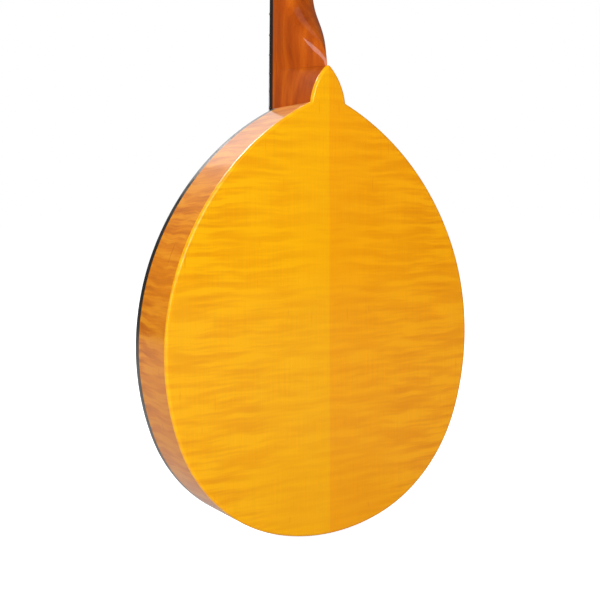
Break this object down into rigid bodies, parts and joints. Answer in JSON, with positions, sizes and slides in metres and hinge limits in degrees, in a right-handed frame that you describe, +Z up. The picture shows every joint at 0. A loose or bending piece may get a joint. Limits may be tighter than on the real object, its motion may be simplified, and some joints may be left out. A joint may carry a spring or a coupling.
{
  "type": "bouzouki",
  "caption": "Flat-backed teardrop bouzouki with a bookmatched maple back, pairs of strings, floating bridge, tailpiece and worm-geared tuners that turn.",
  "frame": {"origin": "middle of the nut's front edge, in the plane where the fingerboard is glued on, which is also the outer face of the soundboard and the middle of a wall hanger's throat", "axes": "+Z runs up the neck to the headstock, -Y is the front with the strings, +Y is the flat back, +X is the treble side"},
  "size_m": [0.348, 0.0799, 0.9887],
  "materials": {
    "back_wood": "gloss amber lacquer over flamed maple",
    "side_wood": "gloss honey lacquer over flamed maple",
    "top_wood": "gloss lacquer over spruce",
    "inner_wood": "bare spruce",
    "neck_wood": "gloss lacquer over reddish-brown mahogany",
    "black_wood": "oiled ebony",
    "rosette_wood": "inlaid rings under lacquer",
    "black_binding": "gloss black",
    "bone": "polished bone",
    "pearl": "pearl inlay",
    "button_pearl": "pearl plastic",
    "nickel": "polished nickel plate",
    "steel": "plain steel",
    "string_steel": "plain and wound wire",
    "gear_brass": "machined brass"
  },
  "bodies": {
    "instrument": {"back_bass_half": "back_wood", "back_treble_half": "back_wood", "back_seam_strip": "inner_wood", "back_braces": "inner_wood", "soundboard": "top_wood", "soundboard_braces": "inner_wood", "rosette": "rosette_wood", "side_bass": "side_wood", "side_treble": "side_wood", "linings": "inner_wood", "neck_block": "neck_wood", "tail_block": "neck_wood", "top_binding": "black_binding", "end_pin": "black_wood", "tailpiece": "nickel", "bridge": "black_wood", "saddle": "bone", "neck": "neck_wood", "truss_rod": "steel", "fingerboard": "black_wood", "frets": "nickel", "position_dots": "pearl", "nut": "bone", "headstock_veneer": "black_wood", "tuner_plates": "nickel", "post_bushings": "nickel", "plate_screws": "nickel", "strings": "string_steel"},
    "knob_1": {"tuner_worm_1": "steel", "tuner_button_1": "button_pearl"},
    "post_1": {"tuner_post_1": "nickel", "tuner_gear_1": "gear_brass"},
    "knob_2": {"tuner_worm_2": "steel", "tuner_button_2": "button_pearl"},
    "post_2": {"tuner_post_2": "nickel", "tuner_gear_2": "gear_brass"},
    "knob_3": {"tuner_worm_3": "steel", "tuner_button_3": "button_pearl"},
    "post_3": {"tuner_post_3": "nickel", "tuner_gear_3": "gear_brass"},
    "knob_4": {"tuner_worm_4": "steel", "tuner_button_4": "button_pearl"},
    "post_4": {"tuner_post_4": "nickel", "tuner_gear_4": "gear_brass"},
    "knob_5": {"tuner_worm_5": "steel", "tuner_button_5": "button_pearl"},
    "post_5": {"tuner_post_5": "nickel", "tuner_gear_5": "gear_brass"},
    "knob_6": {"tuner_worm_6": "steel", "tuner_button_6": "button_pearl"},
    "post_6": {"tuner_post_6": "nickel", "tuner_gear_6": "gear_brass"},
    "knob_7": {"tuner_worm_7": "steel", "tuner_button_7": "button_pearl"},
    "post_7": {"tuner_post_7": "nickel", "tuner_gear_7": "gear_brass"},
    "knob_8": {"tuner_worm_8": "steel", "tuner_button_8": "button_pearl"},
    "post_8": {"tuner_post_8": "nickel", "tuner_gear_8": "gear_brass"}
  },
  "joints": [
    {"name": "knob_1_turn", "type": "hinge", "parent": "instrument", "child": "knob_1", "pos_m": [0.024, 0.0256, 0.03023], "axis": [1, 0, 0], "continuous": true},
    {"name": "post_1_turn", "type": "hinge", "parent": "instrument", "child": "post_1", "pos_m": [0.024, 0.0079, 0.04217], "axis": [0, 0.9781, -0.2079], "continuous": true},
    {"name": "knob_2_turn", "type": "hinge", "parent": "instrument", "child": "knob_2", "pos_m": [0.024, 0.0333, 0.06642], "axis": [1, 0, 0], "continuous": true},
    {"name": "post_2_turn", "type": "hinge", "parent": "instrument", "child": "post_2", "pos_m": [0.024, 0.01559, 0.07836], "axis": [0, 0.9781, -0.2079], "continuous": true},
    {"name": "knob_3_turn", "type": "hinge", "parent": "instrument", "child": "knob_3", "pos_m": [0.024, 0.04099, 0.10261], "axis": [1, 0, 0], "continuous": true},
    {"name": "post_3_turn", "type": "hinge", "parent": "instrument", "child": "post_3", "pos_m": [0.024, 0.02329, 0.11455], "axis": [0, 0.9781, -0.2079], "continuous": true},
    {"name": "knob_4_turn", "type": "hinge", "parent": "instrument", "child": "knob_4", "pos_m": [0.024, 0.04868, 0.1388], "axis": [1, 0, 0], "continuous": true},
    {"name": "post_4_turn", "type": "hinge", "parent": "instrument", "child": "post_4", "pos_m": [0.024, 0.03098, 0.15074], "axis": [0, 0.9781, -0.2079], "continuous": true},
    {"name": "knob_5_turn", "type": "hinge", "parent": "instrument", "child": "knob_5", "pos_m": [-0.024, 0.0256, 0.03023], "axis": [1, 0, 0], "continuous": true},
    {"name": "post_5_turn", "type": "hinge", "parent": "instrument", "child": "post_5", "pos_m": [-0.024, 0.0079, 0.04217], "axis": [0, 0.9781, -0.2079], "continuous": true},
    {"name": "knob_6_turn", "type": "hinge", "parent": "instrument", "child": "knob_6", "pos_m": [-0.024, 0.0333, 0.06642], "axis": [1, 0, 0], "continuous": true},
    {"name": "post_6_turn", "type": "hinge", "parent": "instrument", "child": "post_6", "pos_m": [-0.024, 0.01559, 0.07836], "axis": [0, 0.9781, -0.2079], "continuous": true},
    {"name": "knob_7_turn", "type": "hinge", "parent": "instrument", "child": "knob_7", "pos_m": [-0.024, 0.04099, 0.10261], "axis": [1, 0, 0], "continuous": true},
    {"name": "post_7_turn", "type": "hinge", "parent": "instrument", "child": "post_7", "pos_m": [-0.024, 0.02329, 0.11455], "axis": [0, 0.9781, -0.2079], "continuous": true},
    {"name": "knob_8_turn", "type": "hinge", "parent": "instrument", "child": "knob_8", "pos_m": [-0.024, 0.04868, 0.1388], "axis": [1, 0, 0], "continuous": true},
    {"name": "post_8_turn", "type": "hinge", "parent": "instrument", "child": "post_8", "pos_m": [-0.024, 0.03098, 0.15074], "axis": [0, 0.9781, -0.2079], "continuous": true}
  ],
  "couplings": [
    {"joint": "post_1_turn", "follows": "knob_1_turn", "ratio": 0.066667},
    {"joint": "post_2_turn", "follows": "knob_2_turn", "ratio": 0.066667},
    {"joint": "post_3_turn", "follows": "knob_3_turn", "ratio": 0.066667},
    {"joint": "post_4_turn", "follows": "knob_4_turn", "ratio": 0.066667},
    {"joint": "post_5_turn", "follows": "knob_5_turn", "ratio": 0.066667},
    {"joint": "post_6_turn", "follows": "knob_6_turn", "ratio": 0.066667},
    {"joint": "post_7_turn", "follows": "knob_7_turn", "ratio": 0.066667},
    {"joint": "post_8_turn", "follows": "knob_8_turn", "ratio": 0.066667}
  ]
}
